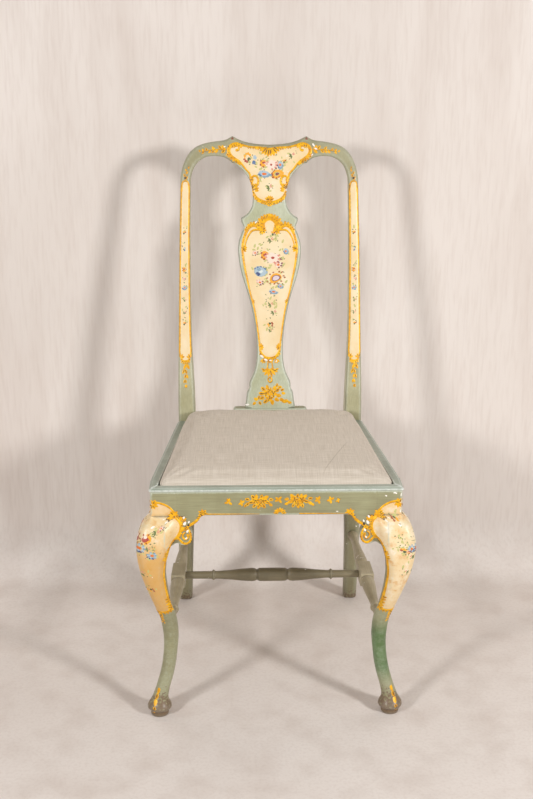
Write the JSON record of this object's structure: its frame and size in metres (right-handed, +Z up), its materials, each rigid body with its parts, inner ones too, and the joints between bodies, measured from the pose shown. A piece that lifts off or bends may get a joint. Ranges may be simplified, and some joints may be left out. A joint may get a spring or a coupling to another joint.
{
  "type": "side_chair",
  "caption": "Painted wooden side chair with cabriole front legs, vase splat, eared crest, turned H stretcher and a linen drop-in seat that lifts out",
  "frame": {"origin": "on the floor, under the middle of the chair's bounding box", "axes": "+Z up, the chair faces -Y, +X to the right of the picture"},
  "size_m": [0.4946, 0.5392, 1.0149],
  "materials": {
    "painted_wood": "sage green oil paint with cream reserves, gilt scrolls and flower sprays, worn at the edges",
    "bare_beech": "bare planed beech inside the seat",
    "linen": "greige plain-weave linen",
    "jute": "woven jute webbing and hessian"
  },
  "bodies": {
    "chair_frame": {"left_rear_post": "painted_wood", "right_rear_post": "painted_wood", "crest_rail": "painted_wood", "back_splat": "painted_wood", "splat_shoe": "painted_wood", "front_seat_rail": "painted_wood", "left_seat_rail": "painted_wood", "right_seat_rail": "painted_wood", "rear_seat_rail": "painted_wood", "front_rim_moulding": "painted_wood", "left_rim_moulding": "painted_wood", "right_rim_moulding": "painted_wood", "front_left_corner_block": "bare_beech", "front_right_corner_block": "bare_beech", "rear_left_corner_block": "bare_beech", "rear_right_corner_block": "bare_beech", "left_front_leg": "painted_wood", "right_front_leg": "painted_wood", "front_left_knee_bracket": "painted_wood", "front_right_knee_bracket": "painted_wood", "side_left_knee_bracket": "painted_wood", "side_right_knee_bracket": "painted_wood", "left_side_stretcher": "painted_wood", "right_side_stretcher": "painted_wood", "cross_stretcher": "painted_wood"},
    "drop_in_seat": {"seat_frame_front": "bare_beech", "seat_frame_back": "bare_beech", "seat_frame_left": "bare_beech", "seat_frame_right": "bare_beech", "webbing_long_1": "jute", "webbing_long_2": "jute", "webbing_long_3": "jute", "webbing_cross_1": "jute", "webbing_cross_2": "jute", "webbing_cross_3": "jute", "seat_hessian": "jute", "seat_stuffing": "linen", "linen_cover": "linen"}
  },
  "joints": [
    {"name": "seat_lift", "type": "slide", "parent": "chair_frame", "child": "drop_in_seat", "axis": [0, 0, 1], "range_m": [0, 0.08]}
  ]
}
